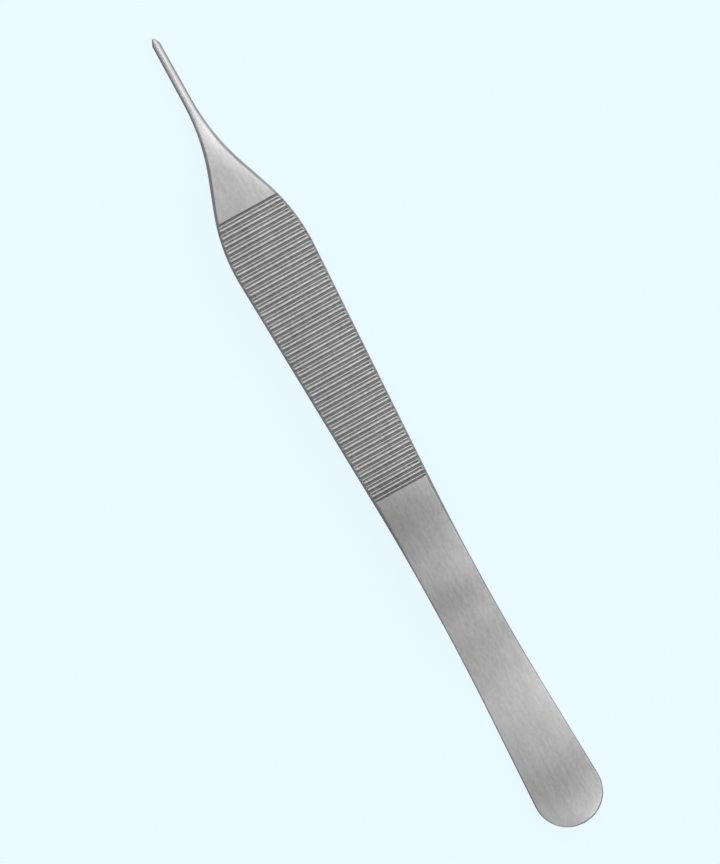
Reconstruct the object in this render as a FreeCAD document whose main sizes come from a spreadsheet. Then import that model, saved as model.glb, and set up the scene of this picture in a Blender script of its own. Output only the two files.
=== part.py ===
"""Thumb forceps, 120 mm long: two sprung steel arms welded face to face at the heel.

Each arm is one blank: padded from its side profile, trimmed to its plan outline, bevelled along
its outer edges, then notched inside the tip and grooved across the grip. Both arms come from
the same sizes, and the lower one is the upper one turned over.

Frame: +X runs from the heel to the tip, +Z is up, and the forceps lie on the flat ribbed grip
of the lower arm. The origin is the middle of the length, at the height of that grip. Inside an
arm's own body the origin is the middle of the heel end, on the plane where the arms meet, and
the arm lies above it. All sizes are millimetres.
"""

import FreeCAD, Part
import math
import os

import Sketcher
from FreeCAD import Vector

# Each driving dimension: its name, its value and what it measures.
SIZES = [
    ("overall_length", 120.0, "heel end to tip"),
    ("weld_length", 9.0, "heel end to where the arms part"),
    ("heel_thickness", 1.3, "one arm at the heel"),
    ("splay_lag", 3.0, "how much later the outer face bends than the inner one"),
    ("splay_share", 0.42, "part of the spring leaf that bends outwards before it bends back"),
    ("grip_spread", 12.0, "over both grips, with the forceps open"),
    ("grip_thickness", 1.9, "one arm at the grip"),
    ("tip_gap", 7.0, "between the tips, with the forceps open"),
    ("tip_thickness", 1.15, "one arm at the tip"),
    ("heel_width", 9.56, "across the rounded heel end"),
    ("waist_width", 7.66, "narrowest part of the spring leaf"),
    ("waist_station", 35.0, "heel end to the waist"),
    ("waist_share", 0.8, "hollow of the leaf's edge, as a share of the largest that fits"),
    ("grip_width", 11.4, "widest part of the grip"),
    ("shoulder_radius", 26.4, "round of the grip's shoulder"),
    ("flank_lean", 20.0, "degrees by which each of the nose's flanks leans inwards"),
    ("flare_radius", 30.6, "hollow where the nose runs into the shaft"),
    ("shaft_length", 9.7, "tip to the root of the thin shaft"),
    ("shaft_width", 1.3, "shaft at its root"),
    ("tip_width", 1.14, "shaft at its end"),
    ("point_length", 0.85, "bevels that bring the shaft to a point"),
    ("point_width", 0.3, "what the bevels leave of the end"),
    ("edge_bevel", 0.32, "bevel that takes the sharpness off the outer edges"),
    ("nose_length", 25.6, "tip to the ribbed panel"),
    ("rib_margin", 0.66, "panel's end to its first and last deep groove"),
    ("groove_pitch", 1.05, "from one deep groove to the next"),
    ("groove_pairs", 41, "deep grooves, each with a fine one behind it"),
    ("rib_drop", 0.06, "how far the ribs lie below the smooth faces at the panel's ends"),
    ("deep_width", 0.45, "mouth of a deep groove"),
    ("deep_floor", 0.16, "floor of a deep groove"),
    ("deep_depth", 0.27, "depth of a deep groove"),
    ("fine_offset", 0.48, "deep groove to the fine one behind it"),
    ("fine_width", 0.24, "mouth of a fine groove"),
    ("fine_depth", 0.1, "depth of a fine groove"),
    ("notch_pitch", 0.55, "from one notch inside the tip to the next"),
    ("notch_count", 14, "notches inside the tip"),
    ("notch_width", 0.4, "mouth of a notch"),
    ("notch_depth", 0.14, "depth of a notch"),
    ("notch_margin", 0.6, "tip to the first notch"),
    ("overcut", 1.0, "how far a cutting profile reaches past the metal"),
]

# Each place worked out from them: its name, its formula and what it is.
PLACES = [
    ("grip_front", "sizes.overall_length - sizes.nose_length", "heel end to the panel's front"),
    ("first_groove", "grip_front - sizes.rib_margin", "heel end to the foremost deep groove"),
    ("grip_back", "first_groove - sizes.groove_pairs * sizes.groove_pitch - sizes.rib_margin",
     "heel end to the panel's back"),
    ("last_fine", "first_groove - (round(sizes.groove_pairs) - 1) * sizes.groove_pitch"
     " - sizes.fine_offset", "heel end to the rearmost fine groove"),
    ("crest", "sizes.grip_spread / 2", "middle plane to the grip's outer face"),
    ("hollow", "crest - sizes.grip_thickness", "middle plane to the grip's inner face"),
    ("tip_inside", "sizes.tip_gap / 2", "middle plane to the tip's inner face"),
    ("tip_outside", "tip_inside + sizes.tip_thickness", "middle plane to the tip's outer face"),
    ("inner_bend", "sizes.weld_length", "heel end to the inner face's bend"),
    ("outer_bend", "sizes.weld_length + sizes.splay_lag", "heel end to the outer face's bend"),
    ("shaft_root", "sizes.overall_length - sizes.shaft_length", "heel end to the shaft's root"),
    ("shaft_lean", "atan((sizes.shaft_width - sizes.tip_width) / 2"
     " / (sizes.shaft_length + sizes.overcut))", "degrees by which the shaft's side leans"),
    ("flare_rise", "sizes.flare_radius * (cos(shaft_lean) - cos(sizes.flank_lean))",
     "half width that the flare adds to the shaft's"),
    ("shoulder_fall", "sizes.shoulder_radius * (1 - cos(sizes.flank_lean))",
     "half width that the shoulder's round takes off the grip's"),
    ("flank_fall", "(sizes.grip_width - sizes.shaft_width) / 2 - shoulder_fall - flare_rise",
     "half width that the straight flank takes off"),
    ("flare_back", "shaft_root - sizes.flare_radius * (sin(sizes.flank_lean) - sin(shaft_lean))",
     "heel end to where the flank runs into the flare"),
    ("shoulder", "flare_back - flank_fall / tan(sizes.flank_lean)"
     " - sizes.shoulder_radius * sin(sizes.flank_lean)", "heel end to the widest part of the grip"),
    ("shoulder_up", "sizes.grip_width / 2 - sizes.shoulder_radius",
     "middle to the centre of the shoulder's round"),
    ("heel_limit", "((sizes.waist_station - sizes.heel_width / 2) ^ 2"
     " + (sizes.waist_width ^ 2 - sizes.heel_width ^ 2) / 4)"
     " / (sizes.heel_width - sizes.waist_width)",
     "radius at which the waist's hollow would reach the heel's round"),
    ("grip_limit", "((shoulder - sizes.waist_station) ^ 2"
     " + (sizes.waist_width / 2 - shoulder_up) ^ 2 - sizes.shoulder_radius ^ 2)"
     " / (sizes.grip_width - sizes.waist_width)",
     "radius at which the waist's hollow would reach the shoulder's round"),
    ("waist_radius", "sizes.waist_share * min(heel_limit; grip_limit)",
     "hollow of the leaf's edge"),
    ("waist_up", "sizes.waist_width / 2 + waist_radius", "middle to the centre of that hollow"),
    ("notch_fall", "(hollow - tip_inside) / sizes.nose_length", "slope of the nose's inner face"),
    ("first_notch", "sizes.overall_length - sizes.notch_margin", "heel end to the first notch"),
    ("notch_face", "tip_inside + sizes.notch_margin * notch_fall", "inner face at that notch"),
]

# How near the middle plane, or a face, a point counts as being on it.
NEAR = 1e-6


def fill_sheet(document, name, rows, prefix=""):
    """A spreadsheet with one named cell for each row."""
    sheet = document.addObject("Spreadsheet::Sheet", name)
    for line, (alias, value, meaning) in enumerate(rows, start=1):
        sheet.set(f"A{line}", alias)
        sheet.set(f"B{line}", f"{prefix}{value}")
        sheet.set(f"C{line}", meaning)
        sheet.setAlias(f"B{line}", alias)
    document.recompute()
    return sheet


class Outline:
    """A run of lines and arcs in a sketch, joined end to end and tied to the sheets as it is drawn.

    A corner is a pair of expressions, across and up, and the drawn geometry starts from their
    values, so the sketch is solved before it is first recomputed.
    """

    def __init__(self, sketch):
        self.sketch = sketch
        self.driven = 0

    def at(self, across, up):
        value = self.sketch.evalExpression
        return Vector(float(value(across)), float(value(up)), 0)

    def drive(self, kind, place, expression):
        """A dimension that follows an expression."""
        self.driven += 1
        name = f"{kind.lower()}_{self.driven}"
        value = float(self.sketch.evalExpression(expression))
        index = self.sketch.addConstraint(Sketcher.Constraint(kind, *place, value))
        self.sketch.renameConstraint(index, name)
        self.sketch.setExpression(f"Constraints.{name}", expression)

    def pin(self, place, across=None, up=None):
        """Ties a point to the sketch's origin, across, up or both."""
        if across is not None:
            self.drive("DistanceX", (-1, 1, *place), across)
        if up is not None:
            self.drive("DistanceY", (-1, 1, *place), up)

    def tie(self, kind, *place):
        self.sketch.addConstraint(Sketcher.Constraint(kind, *place))

    def start(self, point):
        self.point = self.opening = point
        self.entry = self.exit = None

    def _join(self, geometry, end, enter, leave, smooth):
        index = self.sketch.addGeometry(geometry, False)
        if self.exit is None:
            self.entry = (index, enter)
        else:
            self.tie("Tangent" if smooth else "Coincident", *self.exit, index, enter)
        self.exit = (index, leave)
        self.point = end
        return index

    def line(self, end, smooth=False):
        return self._join(Part.LineSegment(self.point, end), end, 1, 2, smooth)

    def arc(self, end, centre, smooth=True):
        first = math.atan2(self.point.y - centre.y, self.point.x - centre.x)
        last = math.atan2(end.y - centre.y, end.x - centre.x)
        circle = Part.Circle(centre, Vector(0, 0, 1), (self.point - centre).Length)
        if (last - first) % math.tau < math.pi:
            return self._join(Part.ArcOfCircle(circle, first, last), end, 1, 2, smooth)
        return self._join(Part.ArcOfCircle(circle, last, first), end, 2, 1, smooth)

    def close(self):
        index = self.line(self.opening)
        self.tie("Coincident", *self.exit, *self.entry)
        return index

    def polygon(self, corners):
        """A closed run of straight lines with every corner pinned."""
        points = [self.at(*corner) for corner in corners]
        self.start(points[0])
        sides = [self.line(point) for point in points[1:]] + [self.close()]
        for side, corner in zip(sides, corners):
            self.pin((side, 1), *corner)


def new_sketch(body, name, role):
    """An empty sketch on one of the body's own origin planes."""
    sketch = body.newObject("Sketcher::SketchObject", name)
    plane = next(item for item in body.Origin.OriginFeatures if item.Role == role)
    sketch.AttachmentSupport = [(plane, "")]
    sketch.MapMode = "FlatFace"
    return sketch


def double_bend(start, end, share):
    """Turning point and centres of the two arcs that join two level lines in an S."""
    turn = start + (end - start) * share
    radius = (end - start).Length ** 2 / (2 * (end.y - start.y))
    return turn, start + Vector(0, radius * share, 0), end - Vector(0, radius * (1 - share), 0)


def side_profile(body, sizes):
    """Side view of one arm: heel, S-shaped spring leaf, flat grip, bent nose and straight shaft."""
    sketch = new_sketch(body, "side_profile", "XZ_Plane")
    draw = Outline(sketch)
    heel_out = draw.at("-sizes.overcut", "sizes.heel_thickness")
    bend_out = draw.at("places.outer_bend", "sizes.heel_thickness")
    back_out = draw.at("places.grip_back", "places.crest")
    front_out = draw.at("places.grip_front", "places.crest")
    tip_out = draw.at("sizes.overall_length", "places.tip_outside")
    tip_in = draw.at("sizes.overall_length", "places.tip_inside")
    front_in = draw.at("places.grip_front", "places.hollow")
    back_in = draw.at("places.grip_back", "places.hollow")
    bend_in = draw.at("places.inner_bend", "0")
    heel_in = draw.at("-sizes.overcut", "0")

    draw.start(heel_out)
    heel_face = draw.line(bend_out)
    turn, low, high = double_bend(bend_out, back_out, sizes.splay_share)
    out_bend = draw.arc(turn, low)
    draw.arc(back_out, high)
    grip_face = draw.line(front_out, smooth=True)
    nose_bend = sizes.nose_length - sizes.shaft_length
    slope = (front_out.y - tip_out.y) / (nose_bend / 2 + sizes.shaft_length)
    root_out = tip_out + Vector(-1, slope, 0) * sizes.shaft_length
    draw.arc(root_out, front_out - Vector(0, nose_bend / slope, 0))
    shaft_face = draw.line(tip_out, smooth=True)
    tip_end = draw.line(tip_in)
    nose_inside = draw.line(front_in)
    grip_inside = draw.line(back_in)
    turn, low, high = double_bend(bend_in, back_in, sizes.splay_share)
    draw.arc(turn, high)
    in_bend = draw.arc(bend_in, low)
    draw.line(heel_in, smooth=True)
    heel_end = draw.close()

    for level in (heel_face, grip_face, grip_inside):
        draw.tie("Horizontal", level)
    draw.pin((heel_face, 1), "-sizes.overcut", "sizes.heel_thickness")
    draw.pin((heel_face, 2), "places.outer_bend")
    draw.pin((grip_face, 1), "places.grip_back", "places.crest")
    draw.pin((grip_face, 2), "places.grip_front")
    draw.pin((shaft_face, 1), "places.shaft_root")
    draw.pin((tip_end, 1), "sizes.overall_length", "places.tip_outside")
    draw.pin((tip_end, 2), "sizes.overall_length", "places.tip_inside")
    draw.pin((nose_inside, 2), "places.grip_front", "places.hollow")
    draw.pin((grip_inside, 2), "places.grip_back")
    draw.pin((heel_end, 1), "-sizes.overcut", "0")
    draw.pin((in_bend, 1), "places.inner_bend", "0")
    for bend, begin in ((out_bend, "places.outer_bend"), (in_bend, "places.inner_bend")):
        draw.pin((bend, 2), f"{begin} + sizes.splay_share * (places.grip_back - {begin})")
    return sketch


def touching_line(near, near_reach, far, far_reach):
    """Ends of the line that touches two circles. A reach is a radius, negative to pass below."""
    span = far - near
    lean = math.atan2(span.y, span.x) - math.asin((near_reach - far_reach) / span.Length)
    normal = Vector(-math.sin(lean), math.cos(lean), 0)
    return near + normal * near_reach, far + normal * far_reach


def plan_waste(body, sizes, places):
    """Metal outside one half of the plan outline: heel round, waist, shoulder, flare and shaft."""
    sketch = new_sketch(body, "plan_waste", "XY_Plane")
    draw = Outline(sketch)
    heel_radius = sizes.heel_width / 2
    waist_radius = places.waist_radius
    blank_side = "sizes.grip_width / 2 + 2 * sizes.overcut"
    heel_end = Vector(0, 0, 0)
    heel_centre = Vector(heel_radius, 0, 0)
    waist_centre = Vector(sizes.waist_station, places.waist_up, 0)
    shoulder_centre = Vector(places.shoulder, places.shoulder_up, 0)
    shaft_root = draw.at("places.shaft_root", "sizes.shaft_width / 2")
    shaft_end = draw.at("sizes.overall_length + sizes.overcut", "sizes.tip_width / 2")
    along_shaft = (shaft_end - shaft_root).normalize()
    flare_centre = shaft_root + Vector(-along_shaft.y, along_shaft.x, 0) * sizes.flare_radius

    heel_side, waist_back = touching_line(heel_centre, heel_radius, waist_centre, -waist_radius)
    waist_front, grip_side = touching_line(
        waist_centre, -waist_radius, shoulder_centre, sizes.shoulder_radius)
    nose_back, nose_front = touching_line(
        shoulder_centre, sizes.shoulder_radius, flare_centre, -sizes.flare_radius)

    draw.start(heel_end)
    heel = draw.arc(heel_side, heel_centre)
    draw.line(waist_back, smooth=True)
    waist = draw.arc(waist_front, waist_centre)
    draw.line(grip_side, smooth=True)
    shoulder = draw.arc(nose_back, shoulder_centre)
    draw.line(nose_front, smooth=True)
    flare = draw.arc(shaft_root, flare_centre)
    shaft = draw.line(shaft_end, smooth=True)
    front = draw.line(draw.at("sizes.overall_length + sizes.overcut", blank_side))
    side = draw.line(draw.at("-2 * sizes.overcut", blank_side))
    back = draw.line(draw.at("-2 * sizes.overcut", "0"))
    draw.close()

    draw.pin((heel, 2), "0", "0")
    draw.pin((heel, 3), "sizes.heel_width / 2", "0")
    draw.pin((waist, 3), "sizes.waist_station", "places.waist_up")
    draw.pin((shoulder, 3), "places.shoulder", "places.shoulder_up")
    draw.drive("Radius", (waist,), "places.waist_radius")
    draw.drive("Radius", (shoulder,), "sizes.shoulder_radius")
    draw.drive("Radius", (flare,), "sizes.flare_radius")
    draw.pin((shaft, 1), "places.shaft_root", "sizes.shaft_width / 2")
    draw.pin((shaft, 2), "sizes.overall_length + sizes.overcut", "sizes.tip_width / 2")
    draw.pin((front, 2), "sizes.overall_length + sizes.overcut", blank_side)
    draw.pin((side, 2), "-2 * sizes.overcut", blank_side)
    draw.pin((back, 2), "-2 * sizes.overcut", "0")
    return sketch


def point_bevels(body):
    """The two wedges that bring the end of the shaft to a point."""
    sketch = new_sketch(body, "point_bevels", "XY_Plane")
    draw = Outline(sketch)
    past = "sizes.overall_length + sizes.overcut"
    lean = "(sizes.tip_width - sizes.point_width) / 2 / sizes.point_length"
    for side in ("", "-"):
        draw.polygon([
            (f"sizes.overall_length - sizes.point_length - sizes.overcut / ({lean})",
             f"{side}(sizes.tip_width / 2 + sizes.overcut)"),
            ("sizes.overall_length", f"{side}(sizes.point_width / 2)"),
            (past, f"{side}(sizes.point_width / 2)"),
            (past, f"{side}(sizes.tip_width / 2 + sizes.overcut)"),
        ])
    return sketch


def rib_panel(body):
    """The shallow cut that sets the ribs back, from the rearmost groove to the foremost."""
    sketch = new_sketch(body, "rib_panel", "XZ_Plane")
    floor = "places.crest - sizes.rib_drop"
    above = "places.crest + sizes.overcut"
    Outline(sketch).polygon([
        ("places.last_fine", above),
        ("places.last_fine", floor),
        ("places.first_groove", floor),
        ("places.first_groove", above),
    ])
    return sketch


def grip_grooves(body):
    """The foremost pair of cross grooves: a deep flat-bottomed one and a fine vee behind it."""
    sketch = new_sketch(body, "grip_grooves", "XZ_Plane")
    draw = Outline(sketch)
    above = "places.crest + sizes.overcut"
    deep = "places.first_groove"
    fine = "places.first_groove - sizes.fine_offset"
    draw.polygon([
        (f"{deep} - sizes.deep_width / 2", above),
        (f"{deep} - sizes.deep_width / 2", "places.crest"),
        (f"{deep} - sizes.deep_floor / 2", "places.crest - sizes.deep_depth"),
        (f"{deep} + sizes.deep_floor / 2", "places.crest - sizes.deep_depth"),
        (f"{deep} + sizes.deep_width / 2", "places.crest"),
        (f"{deep} + sizes.deep_width / 2", above),
    ])
    draw.polygon([
        (f"{fine} - sizes.fine_width / 2", above),
        (f"{fine} - sizes.fine_width / 2", "places.crest"),
        (fine, "places.crest - sizes.fine_depth"),
        (f"{fine} + sizes.fine_width / 2", "places.crest"),
        (f"{fine} + sizes.fine_width / 2", above),
    ])
    return sketch


def tip_notch(body):
    """The foremost notch inside the tip, with the nose's inner face as a line to repeat it along."""
    sketch = new_sketch(body, "tip_notch", "XZ_Plane")
    draw = Outline(sketch)
    mouth = "places.notch_face - sizes.notch_depth"
    draw.polygon([
        ("places.first_notch - sizes.notch_width", mouth),
        ("places.first_notch", "places.notch_face + sizes.notch_depth"),
        ("places.first_notch + sizes.notch_width", mouth),
    ])
    tip = draw.at("sizes.overall_length", "places.tip_inside")
    front = draw.at("places.grip_front", "places.hollow")
    face = sketch.addGeometry(Part.LineSegment(tip, front), True)
    draw.pin((face, 1), "sizes.overall_length", "places.tip_inside")
    draw.pin((face, 2), "places.grip_front", "places.hollow")
    return sketch


def outer_edges(solid):
    """Names of the edges along the rim of the outer face, left and right of the middle."""
    names = []
    probe = 0.02
    for number, edge in enumerate(solid.Edges, start=1):
        middle = edge.valueAt((edge.FirstParameter + edge.LastParameter) / 2)
        if abs(middle.y) < NEAR:
            continue
        inwards = -math.copysign(probe, middle.y)
        below = middle + Vector(0, inwards, -probe)
        above = middle + Vector(0, inwards, probe)
        if solid.isInside(below, NEAR, False) and not solid.isInside(above, NEAR, False):
            names.append(f"Edge{number}")
    return names


def cut_through(body, name, sketch):
    """Removes the sketch's areas right through the arm, both ways from its plane."""
    pocket = body.newObject("PartDesign::Pocket", name)
    pocket.Profile = sketch
    pocket.Type = "ThroughAll"
    pocket.SideType = "Symmetric"
    return pocket


def repeat(body, name, feature, direction, pitch, count):
    """Copies of a cut in a row, evenly spaced."""
    row = body.newObject("PartDesign::LinearPattern", name)
    row.Originals = [feature]
    row.Direction = direction
    row.Mode = "Spacing"
    row.setExpression("Offset", pitch)
    row.setExpression("Occurrences", count)
    body.Tip = row
    return row


def make_arm(document, sizes, places, name):
    """One arm, in its own frame."""
    body = document.addObject("PartDesign::Body", name)
    blank = body.newObject("PartDesign::Pad", "blank")
    blank.Profile = side_profile(body, sizes)
    blank.SideType = "Symmetric"
    blank.setExpression("Length", "sizes.grip_width + 2 * sizes.overcut")
    trim = cut_through(body, "trim", plan_waste(body, sizes, places))
    both_sides = body.newObject("PartDesign::Mirrored", "trim_both_sides")
    both_sides.Originals = [trim]
    middle = next(item for item in body.Origin.OriginFeatures if item.Role == "XZ_Plane")
    both_sides.MirrorPlane = (middle, [""])
    body.Tip = both_sides
    document.recompute()

    bevel = body.newObject("PartDesign::Chamfer", "bevelled_edges")
    bevel.Base = (both_sides, outer_edges(both_sides.Shape))
    bevel.setExpression("Size", "sizes.edge_bevel")
    document.recompute()

    notch = cut_through(body, "notch", tip_notch(body))
    repeat(body, "tip_teeth", notch, (notch.Profile[0], ["Axis0"]),
           "sizes.notch_pitch", "sizes.notch_count")
    cut_through(body, "point", point_bevels(body))
    cut_through(body, "panel", rib_panel(body))
    groove = cut_through(body, "groove_pair", grip_grooves(body))
    ribs = repeat(body, "grip_ribs", groove, (groove.Profile[0], ["H_Axis"]),
                  "sizes.groove_pitch", "sizes.groove_pairs")
    ribs.Reversed = True
    document.recompute()
    return body


def check(document, arms):
    """Stops the script if a feature failed, a cut removed nothing or an arm isn't one solid."""
    for item in document.Objects:
        if "Invalid" in item.State or "Error" in item.State:
            raise RuntimeError(f"{item.Name} failed: {item.State}")
    for arm in arms:
        cuts = [item for item in arm.Group if item.isDerivedFrom("PartDesign::Feature")]
        for before, after in zip(cuts, cuts[1:]):
            if after.Shape.Volume >= before.Shape.Volume:
                raise RuntimeError(f"{after.Name} in {arm.Name} removes nothing")
        shape = arm.Shape
        if shape.isNull() or not shape.isValid() or len(shape.Solids) != 1:
            raise RuntimeError(f"{arm.Name} isn't one valid solid")


def main():
    document = FreeCAD.newDocument("thumb_forceps")
    sizes = fill_sheet(document, "sizes", SIZES)
    places = fill_sheet(document, "places", PLACES, prefix="=")
    arms = [make_arm(document, sizes, places, name) for name in ("upper_arm", "lower_arm")]
    for arm, turn in zip(arms, (0, 180)):
        arm.Placement = FreeCAD.Placement(Vector(), FreeCAD.Rotation(Vector(1, 0, 0), turn))
        arm.setExpression("Placement.Base.x", "-sizes.overall_length / 2")
        arm.setExpression("Placement.Base.z", "places.crest")
    document.recompute()
    check(document, arms)
    os.makedirs("parts", exist_ok=True)
    for arm in arms:
        arm.Shape.exportStep(os.path.join("parts", f"{arm.Label}.step"))


main()
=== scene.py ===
"""Thumb forceps in satin stainless steel, lying on one grip on a plain pale sheet.

Each arm is drawn out station by station from a ring of edges, so its rounded border, its cross
grooves and the notches inside its tip all belong to one closed skin. Stations are measured from
the heel end, heights from the plane where the arms meet.
"""

import math

import bmesh
import bpy
from bpy.props import FloatProperty, FloatVectorProperty, IntProperty, PointerProperty
from bpy.types import Operator, Panel, PropertyGroup
from mathutils import Matrix, Vector


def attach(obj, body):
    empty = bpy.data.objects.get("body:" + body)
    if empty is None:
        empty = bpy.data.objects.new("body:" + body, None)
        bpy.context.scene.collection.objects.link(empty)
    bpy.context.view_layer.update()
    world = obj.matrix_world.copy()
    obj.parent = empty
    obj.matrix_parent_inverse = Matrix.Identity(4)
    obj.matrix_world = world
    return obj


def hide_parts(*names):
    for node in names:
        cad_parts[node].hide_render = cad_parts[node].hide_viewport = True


bl_info = {
    "name": "Thumb Forceps",
    "version": (1, 0, 0),
    "blender": (4, 5, 0),
    "location": "View3D > Sidebar > Forceps",
    "description": "Builds thumb forceps with ribbed grips, their satin finish and a pale stage",
    "category": "Object",
}

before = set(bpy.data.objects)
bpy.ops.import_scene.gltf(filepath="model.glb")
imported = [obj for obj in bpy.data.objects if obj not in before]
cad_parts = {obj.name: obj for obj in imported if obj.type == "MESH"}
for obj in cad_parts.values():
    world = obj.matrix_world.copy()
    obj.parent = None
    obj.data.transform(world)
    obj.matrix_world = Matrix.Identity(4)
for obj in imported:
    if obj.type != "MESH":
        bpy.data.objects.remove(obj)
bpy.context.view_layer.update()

MM = 0.001
ARM_SLOT = "satin_steel"
SHARP = math.radians(38)
PANEL_DISTANCE = 2.0
WASH_HEIGHT = 4.0

# Painted sheen and painted shade in soft bands along the length: millimetres from the middle of
# the length towards the tip, how far each band reaches on both sides, and how much it lightens or
# darkens the steel's colour.
SHEEN_AND_SHADE_BANDS = (
    (45.0, 4.0, 0.12),     # neck
    (39.0, 3.5, -0.06),    # nose
    (-12.5, 8.0, -0.20),   # behind the grip
    (-25.0, 4.0, -0.16),   # waist
    (-42.5, 9.0, 0.20),    # leaf
    (-53.0, 3.5, -0.12),   # weld
    (-60.0, 5.0, 0.25),    # heel
)

# Soft panels: name, bearing, nearest and farthest edge off the zenith, breadth and radiance.
PANELS = (
    ("overhead", 0, -38, 38, 2.8, 0.08),
    ("beyond_the_tip", 0, 8, 42, 0.9, 1.45),
    ("behind_the_heel", 180, 8, 42, 1.5, 0.25),
    ("right_side", -90, 8, 46, 2.2, 0.75),
    ("right_wall", -90, 46, 84, 2.2, 0.26),
    ("left_side", 84, 20, 48, 1.6, 0.24),
    ("far_right", -45, 58, 86, 1.8, 0.20),
    ("far_left", 135, 48, 68, 1.8, 0.50),
)


def length(name, description, millimetres):
    """A length that the sidebar shows in the scene's own unit."""
    return FloatProperty(name=name, description=description, default=millimetres * MM,
                         min=0.0, precision=5, unit="LENGTH", subtype="DISTANCE")


def share(name, description, default):
    """A number without a unit."""
    return FloatProperty(name=name, description=description, default=default,
                         min=0.0, precision=3, subtype="FACTOR")


def angle(name, description, degrees):
    """An angle that the sidebar shows in the scene's own unit."""
    return FloatProperty(name=name, description=description, default=math.radians(degrees),
                         unit="ROTATION", subtype="ANGLE")


class ForcepsArmSizes(PropertyGroup):
    """Plan and side view of one arm."""

    overall: length("Overall length", "Heel end to tip", 120)
    weld: length("Weld", "Heel end to where the arms part", 9)
    heel_thickness: length("Heel thickness", "One arm at the heel", 1.3)
    splay_lag: length("Splay lag", "How much later the outer face bends than the inner one", 3)
    splay_share: share("Splay share", "Part of the spring leaf that bends outwards", 0.42)
    grip_spread: length("Grip spread", "Over both grips", 12)
    grip_thickness: length("Grip thickness", "One arm at the grip", 1.9)
    grip_back: length("Grip back", "Heel end to the ribbed panel", 50.03)
    tip_gap: length("Tip gap", "Between the tips", 7)
    tip_thickness: length("Tip thickness", "One arm at the tip", 1.15)
    heel_width: length("Heel width", "Across the rounded heel end", 9.56)
    waist_width: length("Waist width", "Narrowest part of the spring leaf", 7.66)
    waist_station: length("Waist station", "Heel end to the waist", 35)
    waist_radius: length("Waist radius", "Hollow of the leaf's edge", 381)
    grip_width: length("Grip width", "Widest part of the grip", 11.4)
    shoulder: length("Shoulder", "Heel end to the widest part of the grip", 86.6)
    shoulder_radius: length("Shoulder radius", "Round of the grip's shoulder", 26.4)
    flare_radius: length("Flare radius", "Hollow where the nose meets the shaft", 30.6)
    nose: length("Nose", "Tip to the ribbed panel", 25.6)
    shaft: length("Shaft", "Tip to the root of the thin shaft", 9.7)
    shaft_width: length("Shaft width", "Across the shaft's root", 1.3)
    tip_width: length("Tip width", "Across the shaft's end", 1.14)
    point: length("Point", "Bevels that bring the shaft to a point", 0.85)
    point_width: length("Point width", "What the bevels leave of the end", 0.3)


class ForcepsEdgeSizes(PropertyGroup):
    """How the border of an arm is bevelled and rounded off."""

    grip_reach: length("Grip border", "Width of the bevelled border at grip and nose", 0.53)
    leaf_reach: length("Leaf border", "Width of the border at the spring leaf and heel", 0.24)
    lean: angle("Border lean", "How steeply the flat part of the border falls", 38)
    shaft_lean: angle("Shaft lean", "How steeply the round of the shaft ends", 42)
    round_share: share("Round share", "Part of the border that is round instead of flat", 0.45)
    inner: length("Inner edge", "Softened edge of the inner face", 0.09)
    crown: length("Crown", "How much higher the middle stands than the border", 0.09)


class ForcepsGrooveSizes(PropertyGroup):
    """Cross grooves of the grip and notches inside the tip."""

    first: length("First groove", "Heel end to the foremost deep groove", 93.74)
    pitch: length("Pitch", "From one deep groove to the next", 1.05)
    pairs: IntProperty(name="Pairs", description="Deep grooves, each with a fine one behind it",
                       default=41, min=1)
    deep_mouth: length("Deep mouth", "Half width of a deep groove's soft rim", 0.20)
    deep_floor: length("Deep floor", "Half width of a deep groove's floor", 0.06)
    deep_depth: length("Deep depth", "Deep groove below the ribs", 0.21)
    fine_offset: length("Fine offset", "Deep groove to the fine one behind it", 0.49)
    fine_mouth: length("Fine mouth", "Half width of a fine groove's soft rim", 0.15)
    fine_depth: length("Fine depth", "Fine groove below the ribs", 0.13)
    fine_end: share("Fine end", "Part of a fine groove's depth that reaches the border", 0.5)
    low_ridge: length("Low ridge", "How much lower the narrow ridge stands", 0.012)
    rib_drop: length("Rib drop", "How far the ribs lie below the smooth faces", 0.06)
    notch_first: length("First notch", "Tip to the foremost notch", 0.6)
    notch_pitch: length("Notch pitch", "From one notch to the next", 0.55)
    notches: IntProperty(name="Notches", description="Notches inside the tip", default=14, min=0)
    notch_mouth: length("Notch mouth", "Half width of a notch", 0.2)
    notch_depth: length("Notch depth", "Depth of a notch", 0.14)


def colour(name, description, default):
    """A colour that the sidebar shows as a swatch."""
    return FloatVectorProperty(name=name, description=description, default=default,
                               size=3, min=0.0, max=1.0, subtype="COLOR")


class ForcepsFinish(PropertyGroup):
    """Colours of the steel."""

    # Bright and shaded steel are the two ends of the steel's tone. The painted sheen bands push
    # towards the bright end, and painted shade takes the bottoms of the deep grooves down to the
    # shaded end. The crests and the border are made darker, not lighter.
    bright: colour("Bright steel", "Polished crests and worn edges", (0.90, 0.90, 0.90))
    shaded_steel: colour("Dull steel", "Bottom of the deep grooves", (0.15, 0.15, 0.15))
    roughness: share("Roughness", "How matt the brushed steel is", 0.29)


class ForcepsStage(PropertyGroup):
    """Sheet, lights and camera."""

    sheet: colour("Sheet", "The pale sheet under the forceps", (0.823, 0.947, 1.0))
    glow: share("Sheet glow", "Part of the sheet's brightness that comes through it", 0.85)
    wash: share("Wash", "Radiance of the small lamp straight above that evens out the sheet", 2650)
    room: share("Room", "Radiance of the room around the panels", 0.20)
    ahead: length("Camera ahead", "Camera from the middle towards the tip", 0.465)
    aside: length("Camera aside", "Camera from the middle to the left", 1.101)
    distance: FloatProperty(name="Camera distance", description="Camera to the upper grip",
                            default=5.0, min=0.2, unit="LENGTH", subtype="DISTANCE")
    field: length("Picture height", "What the picture takes in from top to bottom", 115.76)
    turn: FloatProperty(name="Camera turn", description="How the camera is turned on its axis",
                        default=math.radians(-118.84), unit="ROTATION", subtype="ANGLE")


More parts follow.
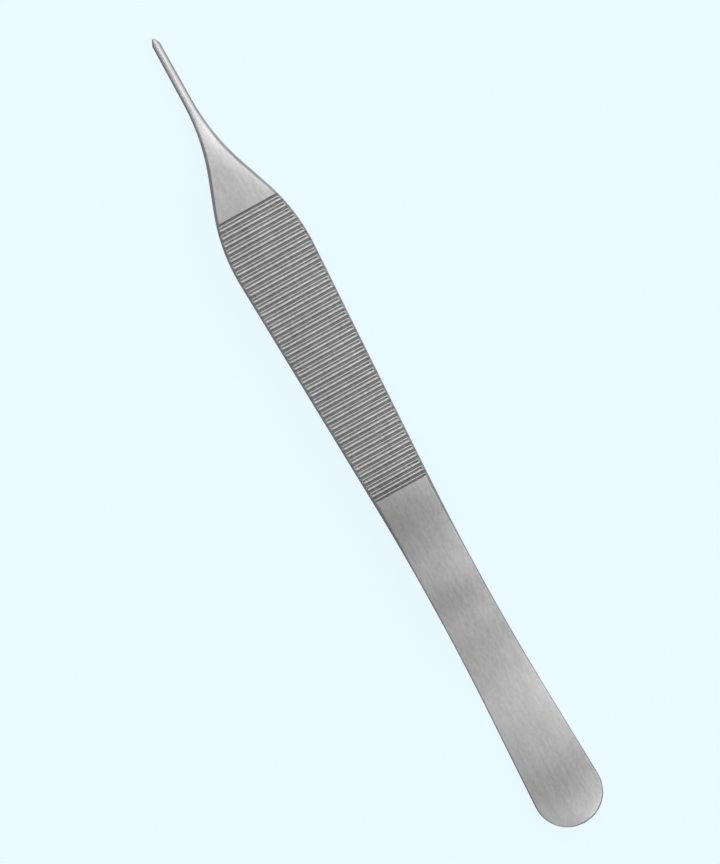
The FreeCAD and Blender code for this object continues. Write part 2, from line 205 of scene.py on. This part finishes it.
def smooth(low, high, value):
    """0 up to low, 1 from high on, and a soft S between them."""
    part = min(max((value - low) / (high - low), 0.0), 1.0)
    return part * part * (3 - 2 * part)


def touching_line(near, near_reach, far, far_reach):
    """Ends of the line that touches two circles. A reach is a radius, negative to pass below."""
    span = far - near
    lean = math.atan2(span.y, span.x) - math.asin((near_reach - far_reach) / span.length)
    normal = Vector((-math.sin(lean), math.cos(lean)))
    return near + normal * near_reach, far + normal * far_reach


class Plan:
    """Half width of an arm at any station."""

    def __init__(self, arm):
        self.arm = arm
        heel = arm.heel_width / 2
        heel_at = Vector((heel, 0))
        waist_at = Vector((arm.waist_station, arm.waist_width / 2 + arm.waist_radius))
        shoulder_at = Vector((arm.shoulder, arm.grip_width / 2 - arm.shoulder_radius))
        root = Vector((arm.overall - arm.shaft, arm.shaft_width / 2))
        end = Vector((arm.overall + MM, arm.tip_width / 2))
        along = (end - root).normalized()
        flare_at = root + Vector((-along.y, along.x)) * arm.flare_radius
        self.heel_side, waist_back = touching_line(heel_at, heel, waist_at, -arm.waist_radius)
        waist_front, grip_side = touching_line(
            waist_at, -arm.waist_radius, shoulder_at, arm.shoulder_radius)
        nose_back, nose_front = touching_line(
            shoulder_at, arm.shoulder_radius, flare_at, -arm.flare_radius)
        self.runs = [
            (self.heel_side.x, heel_at, heel),
            (waist_back.x, self.heel_side, waist_back),
            (waist_front.x, waist_at, -arm.waist_radius),
            (grip_side.x, waist_front, grip_side),
            (nose_back.x, shoulder_at, arm.shoulder_radius),
            (nose_front.x, nose_back, nose_front),
            (root.x, flare_at, -arm.flare_radius),
            (end.x, root, end),
        ]

    def half(self, station):
        """Half width, with the bevels of the point."""
        _, first, second = next(run for run in self.runs if station <= run[0] + 1e-9)
        if isinstance(second, Vector):
            width = first.y + (second.y - first.y) * (station - first.x) / (second.x - first.x)
        else:
            height = math.sqrt(max(second ** 2 - (station - first.x) ** 2, 0.0))
            width = first.y + math.copysign(height, second)
        to_tip = self.arm.overall - station
        if to_tip < self.arm.point:
            lean = (self.arm.tip_width - self.arm.point_width) / 2 / self.arm.point
            width = min(width, self.arm.point_width / 2 + to_tip * lean)
        return width


def double_bend(station, start, end, rise_from, rise_to, turn_share):
    """Height of an S of two arcs that joins two level runs."""
    run = end - start
    rise = rise_to - rise_from
    radius = (run ** 2 + rise ** 2) / (2 * rise)
    low, high = radius * turn_share, radius * (1 - turn_share)
    if station <= start:
        return rise_from
    if station >= end:
        return rise_to
    if station - start <= run * turn_share:
        return rise_from + low - math.sqrt(low ** 2 - (station - start) ** 2)
    return rise_to - high + math.sqrt(high ** 2 - (end - station) ** 2)


class Side:
    """Heights of an arm's outer and inner face at any station."""

    def __init__(self, arm):
        self.arm = arm
        self.front = arm.overall - arm.nose
        self.root = arm.overall - arm.shaft
        self.crest = arm.grip_spread / 2
        self.hollow = self.crest - arm.grip_thickness
        self.tip_in = arm.tip_gap / 2
        self.tip_out = self.tip_in + arm.tip_thickness
        bend = self.root - self.front
        self.fall = (self.crest - self.tip_out) / (bend / 2 + arm.shaft)
        self.nose_radius = bend / math.sin(math.atan(self.fall))

    def outer(self, station):
        if station <= self.front:
            return double_bend(station, self.arm.weld + self.arm.splay_lag, self.arm.grip_back,
                               self.arm.heel_thickness, self.crest, self.arm.splay_share)
        if station <= self.root:
            return (self.crest - self.nose_radius
                    + math.sqrt(self.nose_radius ** 2 - (station - self.front) ** 2))
        return self.tip_out + (self.arm.overall - station) * self.fall

    def inner(self, station):
        if station <= self.front:
            return double_bend(station, self.arm.weld, self.arm.grip_back, 0.0, self.hollow,
                               self.arm.splay_share)
        part = (station - self.front) / self.arm.nose
        return self.hollow + (self.tip_in - self.hollow) * part


class Grooves:
    """Depth of the cross grooves and of the notches at any station, and where stations are due."""

    def __init__(self, arm, sizes):
        self.arm = arm
        self.sizes = sizes
        self.last = sizes.first - (sizes.pairs - 1) * sizes.pitch
        self.first_notch = arm.overall - sizes.notch_first

    def stations(self):
        """Stations that draw each groove's rim, wall and floor."""
        sizes = self.sizes
        deep = [0.0, 0.28, 0.44, 0.62, 0.82, 1.0]
        fine = [0.0, 0.34, 0.67, 1.0]
        offsets = {side * part * sizes.deep_mouth for part in deep for side in (-1, 1)}
        offsets |= {side * part * sizes.fine_mouth - sizes.fine_offset
                    for part in fine for side in (-1, 1)}
        offsets |= {-(sizes.deep_mouth + sizes.fine_offset - sizes.fine_mouth) / 2,
                    -(sizes.fine_offset + sizes.fine_mouth + sizes.pitch - sizes.deep_mouth) / 2}
        found = [sizes.first - count * sizes.pitch + offset
                 for count in range(sizes.pairs) for offset in offsets]
        for count in range(sizes.notches):
            middle = self.first_notch - count * sizes.notch_pitch
            found += [middle + side * part * sizes.notch_mouth
                      for part in (0.0, 0.5, 1.0) for side in (-1, 1)]
        return found

    def depth(self, station):
        """How far the ribs lie below the smooth faces, and the cut below them.

        The cut is given twice: at the border, where the fine grooves run out, and further in.
        """
        sizes = self.sizes
        behind = smooth(self.last - sizes.fine_offset - sizes.fine_mouth,
                        self.last - sizes.fine_offset, station)
        level = sizes.rib_drop * behind * (1 - smooth(sizes.first, sizes.first + sizes.deep_mouth,
                                                      station))
        count = round((sizes.first - station) / sizes.pitch)
        deep_cut = fine_cut = 0.0
        for number in (count - 1, count, count + 1):
            if not 0 <= number < sizes.pairs:
                continue
            deep = sizes.first - number * sizes.pitch
            away = abs(station - deep)
            deep_cut = max(deep_cut, sizes.deep_depth
                           * (1 - smooth(sizes.deep_floor, sizes.deep_mouth, away)))
            away = abs(station - deep + sizes.fine_offset)
            fine_cut = max(fine_cut, sizes.fine_depth
                           * (1 - smooth(0.0, sizes.fine_mouth, away)))
            if deep - sizes.fine_offset < station < deep:
                deep_cut = max(deep_cut, sizes.low_ridge)
        return level, max(deep_cut, fine_cut * sizes.fine_end), max(deep_cut, fine_cut)

    def crest(self, station, cut):
        """1 on a rib's crest, 0 in the grooves and away from the ribs."""
        sizes = self.sizes
        if not self.last - sizes.fine_offset < station < sizes.first:
            return 0.0
        return 1 - smooth(0.0, sizes.fine_depth, cut)

    def notch(self, station):
        """Depth at the inner face."""
        sizes = self.sizes
        if sizes.notches == 0:
            return 0.0
        count = round((self.first_notch - station) / sizes.notch_pitch)
        count = min(max(count, 0), sizes.notches - 1)
        away = abs(station - self.first_notch + count * sizes.notch_pitch)
        return sizes.notch_depth * max(0.0, 1 - away / sizes.notch_mouth)


class Border:
    """Cross section of an arm's border: a flat bevel, then a round that meets the outer face."""

    def __init__(self, reach, round_share, lean):
        self.reach = reach
        self.flat = reach * (1 - round_share)
        self.radius = (reach - self.flat) / math.sin(lean)
        self.slope = math.tan(lean)
        self.round_fall = self.radius * (1 - math.cos(lean))
        self.fall = self.round_fall + self.flat * self.slope

    def drop(self, inset):
        """How far the border has fallen at this distance from the outline."""
        if inset < self.flat:
            return self.round_fall + (self.flat - inset) * self.slope
        return self.radius - math.sqrt(self.radius ** 2 - (self.reach - inset) ** 2)

    def inset(self, drop):
        """Distance from the outline at which the border has fallen this far."""
        if drop >= self.round_fall:
            return max(self.flat - (drop - self.round_fall) / self.slope, 0.0)
        return self.reach - math.sqrt(self.radius ** 2 - (self.radius - drop) ** 2)


class ArmSkin:
    """The ring of points round an arm at any station."""

    ACROSS_INNER = 3
    INNER_EDGE = 2
    WALL = 2
    BORDER = 10
    ACROSS_OUTER = 6
    # Shares of the flat face's half width: a line that keeps the border crisp, and the line
    # from which the fine grooves have their full depth.
    HOLD = 0.98
    RUN_OUT = 0.95
    # The leaf's border widens into the grip's about the back of the ribbed panel, and the
    # nose's turns into the shaft's round before the root of the shaft.
    WIDENING = (-12 * MM, 1 * MM)
    ROUNDING = (-8 * MM, -1 * MM)
    FULL_CROWN = 3 * MM
    LEAF_STEP = 1.0 * MM
    GRIP_STEP = 0.4 * MM
    CLEAR = 0.15 * MM
    CLOSEST = 0.012 * MM

    def __init__(self, sizes):
        self.arm = sizes.arm
        self.edge = sizes.edge
        self.plan = Plan(self.arm)
        self.side = Side(self.arm)
        self.grooves = Grooves(self.arm, sizes.grooves)

    def stations(self):
        """Every station of the skin, from the heel end to the tip."""
        arm = self.arm
        heel = arm.heel_width / 2
        found = self.grooves.stations()
        found += [arm.overall - arm.point * part for part in (1.0, 0.8, 0.6, 0.4, 0.2)]
        kept = [0.0]
        for station in sorted(found):
            if station - kept[-1] > self.CLOSEST:
                kept.append(station)
        coarse = [heel * (1 - math.cos(math.radians(turn))) for turn in range(4, 88, 4)]
        position = self.plan.heel_side.x
        while position < arm.overall - self.CLEAR:
            coarse.append(position)
            position += self.LEAF_STEP if position < arm.grip_back else self.GRIP_STEP
        for station in coarse:
            if min(abs(station - other) for other in kept) > self.CLEAR:
                kept.append(station)
        return sorted(kept) + [arm.overall]

    def border(self, station, half):
        """The border's cross section, which takes up the whole of the half-round shaft."""
        back, root = self.arm.grip_back, self.side.root
        edge = self.edge
        start, end = self.WIDENING
        reach = edge.leaf_reach + (edge.grip_reach - edge.leaf_reach) * smooth(
            back + start, back + end, station)
        start, end = self.ROUNDING
        rounded = smooth(root + start, root + end, station)
        round_share = edge.round_share + (1 - edge.round_share) * rounded
        lean = edge.lean + (edge.shaft_lean - edge.lean) * rounded
        return Border(min(reach, half), round_share, lean)

    def half_ring(self, station):
        """Points from the middle of the inner face round the edge to the middle of the outer one.

        Each is station, side, height, how deep in a groove, how near a rib's crest and how near
        the border it is.
        """
        half = self.plan.half(station)
        heel = self.arm.heel_width / 2
        out = Vector((0.0, 1.0))
        if station < self.plan.heel_side.x:
            out = Vector((station - heel, half)).normalized()
        inner = min(self.edge.inner, half * 0.5)
        border = self.border(station, half if out.x == 0 else heel)
        level, end_cut, cut = self.grooves.depth(station)
        crown = self.edge.crown * smooth(0.0, self.FULL_CROWN, half)
        top = self.side.outer(station) - crown
        bottom = self.side.inner(station) + self.grooves.notch(station)
        crest = self.grooves.crest(station, end_cut)
        points = []

        def place(inset, height, sunk=0.0, ridge=0.0, rim=0.0):
            points.append((station - out.x * inset, half - out.y * inset, height,
                           sunk, ridge, rim))

        for step in range(self.ACROSS_INNER):
            part = step / self.ACROSS_INNER
            points.append((station - out.x * inner, (half - out.y * inner) * part, bottom,
                           0.0, 0.0, 0.0))
        for step in range(self.INNER_EDGE + 1):
            turn = math.radians(90 * step / self.INNER_EDGE)
            place(inner * (1 - math.sin(turn)), bottom + inner * (1 - math.cos(turn)))
        low, high = bottom + inner, top - border.fall
        for step in range(1, self.WALL):
            place(0.0, low + (high - low) * step / self.WALL)
        inmost = border.inset(level + end_cut)
        for step in range(self.BORDER + 1):
            inset = inmost * step / self.BORDER
            drop = border.drop(inset)
            rim = min((border.reach - inset) / self.edge.grip_reach, 1.0)
            sunk = end_cut if step == self.BORDER else 0.0
            place(inset, top - drop, sunk, crest * (1 - rim), rim)
        flat_x, flat_y, flat_z = points[-1][:3]
        flat_z = min(flat_z, top - level - end_cut)
        spread = [(self.HOLD, end_cut), (self.RUN_OUT, cut)]
        spread += [(1 - step / self.ACROSS_OUTER, cut)
                   for step in range(1, self.ACROSS_OUTER + 1)]
        for part, here in spread:
            points.append((flat_x, flat_y * part,
                           flat_z + end_cut - here + crown * (1 - part ** 2),
                           here, self.grooves.crest(station, here), 0.0))
        return points

    def ring(self, station):
        """The whole ring, closed on itself: the near side, then its mirror image."""
        near = self.half_ring(station)
        far = [(x, -y, z, *marks) for x, y, z, *marks in near[-2::-1]]
        return near + far


def draw_arm(sizes):
    """One arm, in the part's frame, lying above the plane where the arms meet."""
    skin = ArmSkin(sizes)
    rings = [skin.ring(station) for station in skin.stations()]
    shape = bmesh.new()
    layers = [shape.verts.layers.float.new(name) for name in ("sunk", "crest", "rim")]
    lattice = bmesh.ops.create_grid(shape, x_segments=len(rings[0]) - 1,
                                    y_segments=len(rings) - 1, size=MM)
    origin = Vector((-sizes.arm.overall / 2, 0.0, sizes.arm.grip_spread / 2))
    points = (point for ring in rings for point in ring)
    for vert, (x, y, z, *marks) in zip(lattice["verts"], points):
        vert.co = origin + Vector((x, y, z))
        for layer, amount in zip(layers, marks):
            vert[layer] = amount
    bmesh.ops.remove_doubles(shape, verts=shape.verts, dist=0.002 * MM)
    rim = [edge for edge in shape.edges if edge.is_boundary]
    bmesh.ops.holes_fill(shape, edges=rim, sides=len(rim))
    bmesh.ops.recalc_face_normals(shape, faces=shape.faces)
    return shape


def finish_piece(name, shape, slot, *replaced):
    """Turns a drawn shape into a smooth object of the part, in place of its plain node."""
    mesh = bpy.data.meshes.new(name)
    shape.to_mesh(mesh)
    shape.free()
    mesh.shade_smooth()
    mesh.set_sharp_from_angle(angle=SHARP)
    piece = bpy.data.objects.new(name, mesh)
    bpy.context.scene.collection.objects.link(piece)
    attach(piece, "root")
    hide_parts(*replaced)
    return piece


class Value:
    """A shader socket that takes part in Python arithmetic. Each operation adds a Math node."""

    def __init__(self, graph, socket):
        self.graph = graph
        self.socket = socket

    def _math(self, operation, first, second):
        return self.graph.add("ShaderNodeMath", {"operation": operation}, {0: first, 1: second})

    def __add__(self, other):
        return self._math("ADD", self, other)

    def __radd__(self, other):
        return self._math("ADD", other, self)

    def __sub__(self, other):
        return self._math("SUBTRACT", self, other)

    def __rsub__(self, other):
        return self._math("SUBTRACT", other, self)

    def __mul__(self, other):
        return self._math("MULTIPLY", self, other)

    def __rmul__(self, other):
        return self._math("MULTIPLY", other, self)

    def __abs__(self):
        return self._math("ABSOLUTE", self, 0.0)


class Graph:
    """The node tree of one material."""

    def __init__(self, name):
        self.material = bpy.data.materials.new(name)
        self.material.use_nodes = True
        self.nodes = self.material.node_tree.nodes
        self.links = self.material.node_tree.links
        self.nodes.clear()

    def add(self, kind, settings=None, inputs=None, output=0):
        """A node with its settings and the values or links of its sockets."""
        node = self.nodes.new(kind)
        for name, value in (settings or {}).items():
            setattr(node, name, value)
        for key, value in (inputs or {}).items():
            if isinstance(value, Value):
                self.links.new(value.socket, node.inputs[key])
            else:
                node.inputs[key].default_value = value
        return Value(self, node.outputs[output])

    def surface(self, shader):
        """Links a shader to the output."""
        output = self.nodes.new("ShaderNodeOutputMaterial")
        self.links.new(shader.socket, output.inputs["Surface"])
        return self.material


def stretched_noise(graph, scale, detail, roughness):
    """Noise from 0 to 1, drawn out by a different scale along each axis of the object."""
    place = graph.add("ShaderNodeTexCoord", output="Object")
    place = graph.add("ShaderNodeMapping", {"vector_type": "POINT"},
                      {"Vector": place, "Scale": scale})
    return graph.add("ShaderNodeTexNoise", {"noise_dimensions": "3D"},
                     {"Vector": place, "Scale": 1.0, "Detail": detail, "Roughness": roughness})


def mark(graph, name):
    """A value that was written on the skin as it was drawn."""
    return graph.add("ShaderNodeAttribute", {"attribute_name": name}, output="Fac")


def band(place, middle, reach):
    """1 at a place along the forceps, falling softly to 0 at a reach on both sides of it."""
    return place.graph.add("ShaderNodeMapRange", {"interpolation_type": "SMOOTHSTEP"}, {
        "Value": abs(place - middle * MM), "From Min": reach * MM, "From Max": 0.0})


def brushed_steel(finish, deepest):
    """Brushed stainless steel, rougher in the grooves and grainy and darker on the rib crests. Its
    colour carries painted shade down the grooves and towards the outline, and painted sheen and
    shade in bands along the length.
    """
    graph = Graph("brushed_stainless_steel")
    along = graph.add("ShaderNodeSeparateXYZ", None,
                      {"Vector": graph.add("ShaderNodeTexCoord", output="Object")})
    # Painted sheen and painted shade, in soft bands along the length.
    painted_sheen_and_shade = sum(band(along, middle, reach) * change for middle, reach, change in SHEEN_AND_SHADE_BANDS)
    streaks = stretched_noise(graph, (330.0, 2400.0, 2400.0), 1.0, 0.35) - 0.5
    blotches = stretched_noise(graph, (180.0, 320.0, 320.0), 2.0, 0.5) - 0.5
    flecks = stretched_noise(graph, (1500.0, 2600.0, 2600.0), 1.0, 0.5) - 0.5
    grain = stretched_noise(graph, (3000.0, 1700.0, 1700.0), 1.0, 0.4) - 0.5
    crest = mark(graph, "crest")
    # Painted shade: the tone darkens towards the outline across the bevelled border.
    rim = mark(graph, "rim")
    # Painted shade: the tone darkens with the depth of a groove, down to the shaded end at the
    # deep grooves' bottoms. The roughness also rises there.
    sunk = mark(graph, "sunk") * (1 / deepest)
    tone = (0.70 + painted_sheen_and_shade + streaks * 0.20 + blotches * 0.10 + flecks * 0.24
            + grain * crest * 0.34 - crest * 0.14 - sunk * 0.50 - rim * 0.10)
    shade = graph.add("ShaderNodeMix", {"data_type": "RGBA"},
                      {0: tone, 6: (*finish.shaded_steel, 1.0), 7: (*finish.bright, 1.0)}, output=2)
    rough = finish.roughness + blotches * 0.02 + streaks * 0.03 + sunk * 0.10
    bump = graph.add("ShaderNodeBump", None, {
        "Strength": 0.12, "Distance": 0.02 * MM, "Height": streaks})
    shader = graph.add("ShaderNodeBsdfPrincipled", None, {
        "Base Color": shade, "Metallic": 1.0, "Roughness": rough, "Normal": bump})
    return graph.surface(shader)


def pale_sheet(stage):
    """The plain matt sheet, lit a little from below."""
    graph = Graph("pale_sheet")
    lit = 1 - stage.glow
    shader = graph.add("ShaderNodeBsdfPrincipled", None, {
        "Base Color": (*(lit * part for part in stage.sheet), 1.0), "Roughness": 0.9,
        "Specular IOR Level": 0.0, "Emission Color": (*stage.sheet, 1.0),
        "Emission Strength": stage.glow})
    return graph.surface(shader)


class FORCEPS_OT_arms(Operator):
    """Draw both arms with their ribs, notches and brushed finish"""

    bl_idname = "forceps.arms"
    bl_label = "Arms"
    bl_options = {"REGISTER", "UNDO"}

    def execute(self, context):
        sizes = context.scene.forceps
        steel = brushed_steel(sizes.finish, sizes.grooves.deep_depth)
        middle = Vector((0.0, 0.0, sizes.arm.grip_spread / 2))
        upper = draw_arm(sizes)
        lower = upper.copy()
        bmesh.ops.rotate(lower, cent=middle, verts=lower.verts,
                         matrix=Matrix.Rotation(math.pi, 3, "X"))
        for name, shape, node in (("upper_steel_arm", upper, "upper_arm"),
                                  ("lower_steel_arm", lower, "lower_arm")):
            finish_piece(name, shape, ARM_SLOT, node).data.materials.append(steel)
        return {"FINISHED"}


def add_panel_light(name, bearing, near, far, breadth, radiance):
    """A soft panel that faces the forceps from the panels' distance.

    Seen from the forceps it reaches from near to far, in degrees off the zenith, towards a
    bearing in degrees: 0 beyond the tip, 90 to the left, 180 behind the heel, -90 to the right.
    """
    lean = math.radians((near + far) / 2)
    turn = math.radians(bearing)
    out = Vector((math.sin(lean) * math.cos(turn), math.sin(lean) * math.sin(turn),
                  math.cos(lean)))
    reach = 2 * PANEL_DISTANCE * math.tan(math.radians(far - near) / 2)
    light = bpy.data.lights.new(name, "AREA")
    light.shape = "RECTANGLE"
    light.size, light.size_y = breadth, reach
    light.energy = radiance * math.pi * breadth * reach
    panel = bpy.data.objects.new(name, light)
    panel.matrix_world = (Matrix.Translation(out * PANEL_DISTANCE)
                          @ out.to_track_quat("Z", "Y").to_matrix().to_4x4())
    bpy.context.scene.collection.objects.link(panel)
    return panel


class FORCEPS_OT_stage(Operator):
    """Lay the pale sheet, set the soft panels and place the camera straight above"""

    bl_idname = "forceps.stage"
    bl_label = "Stage"
    bl_options = {"REGISTER", "UNDO"}

    def execute(self, context):
        scene = context.scene
        sizes = scene.forceps
        stage = sizes.stage
        sheet = bmesh.new()
        bmesh.ops.create_grid(sheet, x_segments=1, y_segments=1, size=1.5)
        mesh = bpy.data.meshes.new("pale_sheet")
        sheet.to_mesh(mesh)
        sheet.free()
        floor = bpy.data.objects.new("pale_sheet", mesh)
        mesh.materials.append(pale_sheet(stage))
        scene.collection.objects.link(floor)

        world = bpy.data.worlds.new("studio")
        world.use_nodes = True
        background = world.node_tree.nodes["Background"]
        background.inputs["Color"].default_value = (1.0, 1.0, 1.0, 1.0)
        background.inputs["Strength"].default_value = stage.room
        scene.world = world
        scene.view_settings.view_transform = "Standard"
        scene.view_settings.look = "None"

        for panel in PANELS:
            add_panel_light(*panel)
        wash = add_panel_light("wash", 0, -1.4, 1.4, 0.1, stage.wash)
        wash.location.z = WASH_HEIGHT
        wash.visible_glossy = False

        lens = bpy.data.cameras.new("camera")
        lens.sensor_fit = "VERTICAL"
        lens.sensor_height = 24.0
        lens.lens = lens.sensor_height * stage.distance / stage.field
        lens.clip_start, lens.clip_end = 0.05, 20.0
        camera = bpy.data.objects.new("camera", lens)
        camera.location = (stage.ahead, stage.aside, sizes.arm.grip_spread + stage.distance)
        camera.rotation_euler = (0.0, 0.0, stage.turn)
        scene.collection.objects.link(camera)
        scene.camera = camera
        return {"FINISHED"}


class ForcepsSizes(PropertyGroup):
    """Everything that the sidebar shows."""

    arm: PointerProperty(type=ForcepsArmSizes)
    edge: PointerProperty(type=ForcepsEdgeSizes)
    grooves: PointerProperty(type=ForcepsGrooveSizes)
    finish: PointerProperty(type=ForcepsFinish)
    stage: PointerProperty(type=ForcepsStage)


class FORCEPS_PT_sidebar(Panel):
    """Sizes, finish and stage of the forceps"""

    bl_idname = "FORCEPS_PT_sidebar"
    bl_label = "Thumb Forceps"
    bl_space_type = "VIEW_3D"
    bl_region_type = "UI"
    bl_category = "Forceps"

    def draw(self, context):
        sizes = context.scene.forceps
        for title, group in (("Arm", sizes.arm), ("Border", sizes.edge),
                             ("Grooves and notches", sizes.grooves),
                             ("Finish", sizes.finish), ("Stage", sizes.stage)):
            box = self.layout.box()
            box.label(text=title)
            for name in group.__annotations__:
                box.prop(group, name)
        self.layout.operator(FORCEPS_OT_arms.bl_idname)
        self.layout.operator(FORCEPS_OT_stage.bl_idname)


CLASSES = (
    ForcepsArmSizes,
    ForcepsEdgeSizes,
    ForcepsGrooveSizes,
    ForcepsFinish,
    ForcepsStage,
    ForcepsSizes,
    FORCEPS_OT_arms,
    FORCEPS_OT_stage,
    FORCEPS_PT_sidebar,
)


def register():
    for item in CLASSES:
        bpy.utils.register_class(item)
    bpy.types.Scene.forceps = PointerProperty(type=ForcepsSizes)


def unregister():
    del bpy.types.Scene.forceps
    for item in reversed(CLASSES):
        bpy.utils.unregister_class(item)


def main():
    register()
    bpy.ops.forceps.arms()
    bpy.ops.forceps.stage()


if __name__ == "__main__":
    main()
